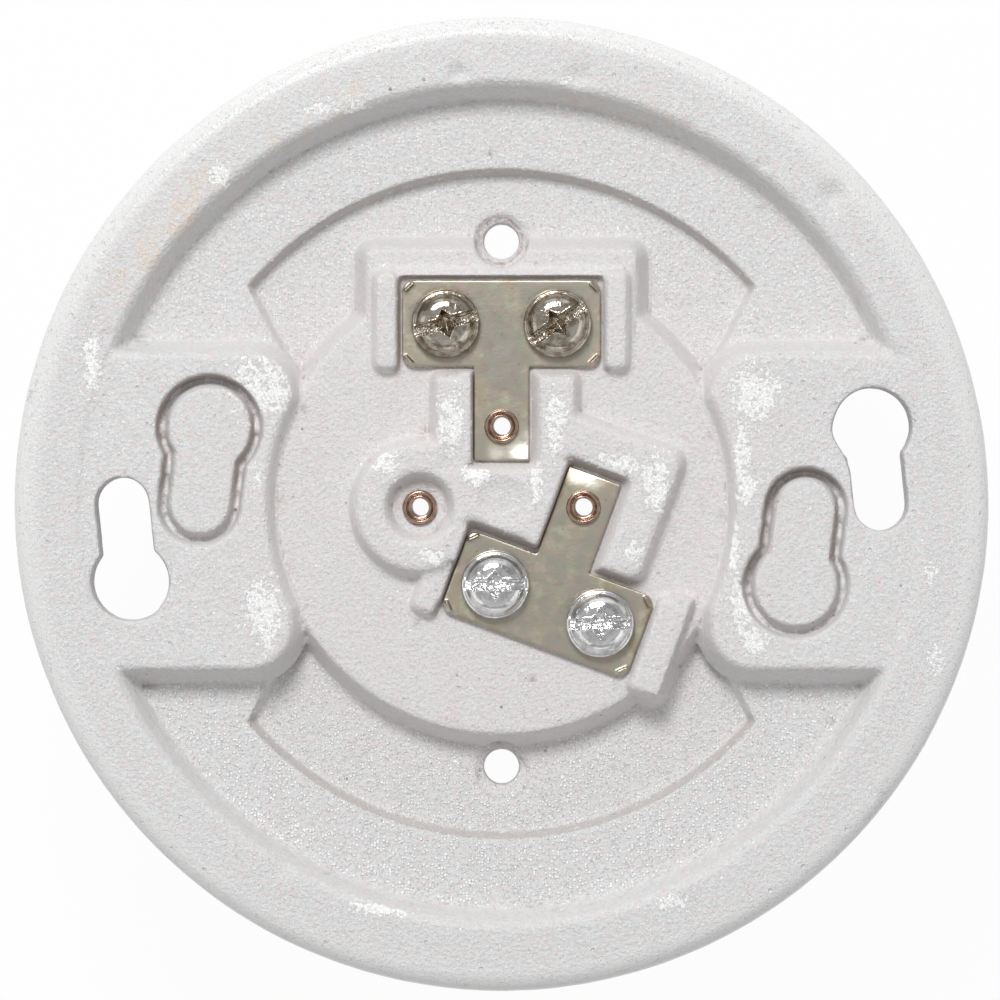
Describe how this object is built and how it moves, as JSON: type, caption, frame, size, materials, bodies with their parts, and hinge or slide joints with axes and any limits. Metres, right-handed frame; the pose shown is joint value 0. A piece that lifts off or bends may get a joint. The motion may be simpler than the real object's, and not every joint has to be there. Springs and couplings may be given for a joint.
{
  "type": "lamp holder",
  "caption": "Keyless porcelain lamp holder for an outlet box: round flange with sunk wiring side, terminal plates with screws, and a threaded lamp collar on its front.",
  "frame": {"origin": "centre of the flat rim that bears on the ceiling or the outlet box, in the plane of that rim", "axes": "+Z out of the wiring side, into the outlet box; the lamp collar points to -Z; +Y from the centre towards the live terminal; +X to the right when the wiring side is looked at with +Y up"},
  "size_m": [0.1142, 0.1142, 0.051],
  "materials": {
    "porcelain": "glazed front, dry pressed back",
    "shell_metal": "bright rolled sheet",
    "contact_brass": "satin",
    "plate_metal": "dull warm nickel plate",
    "live_screw_metal": "warm nickel plate",
    "neutral_screw_metal": "bright zinc plate",
    "eyelet_copper": "copper coloured, rolled"
  },
  "bodies": {
    "holder": {"porcelain_body": "porcelain", "screw_shell": "shell_metal", "centre_contact": "contact_brass", "live_terminal_plate": "plate_metal", "neutral_terminal_plate": "plate_metal", "live_eyelet": "eyelet_copper", "neutral_eyelet": "eyelet_copper", "lone_eyelet": "eyelet_copper"},
    "live_left": {"live_screw_left": "live_screw_metal"},
    "live_right": {"live_screw_right": "live_screw_metal"},
    "neutral_left": {"neutral_screw_left": "neutral_screw_metal"},
    "neutral_right": {"neutral_screw_right": "neutral_screw_metal"}
  },
  "joints": [
    {"name": "live_screw_left_travel", "type": "slide", "parent": "holder", "child": "live_left", "axis": [0, 0, 1], "range_m": [-0.0008, 0.0022]},
    {"name": "live_screw_right_travel", "type": "slide", "parent": "holder", "child": "live_right", "axis": [0, 0, 1], "range_m": [-0.0008, 0.0022]},
    {"name": "neutral_screw_left_travel", "type": "slide", "parent": "holder", "child": "neutral_left", "axis": [0, 0, 1], "range_m": [-0.0008, 0.0022]},
    {"name": "neutral_screw_right_travel", "type": "slide", "parent": "holder", "child": "neutral_right", "axis": [0, 0, 1], "range_m": [-0.0008, 0.0022]}
  ]
}
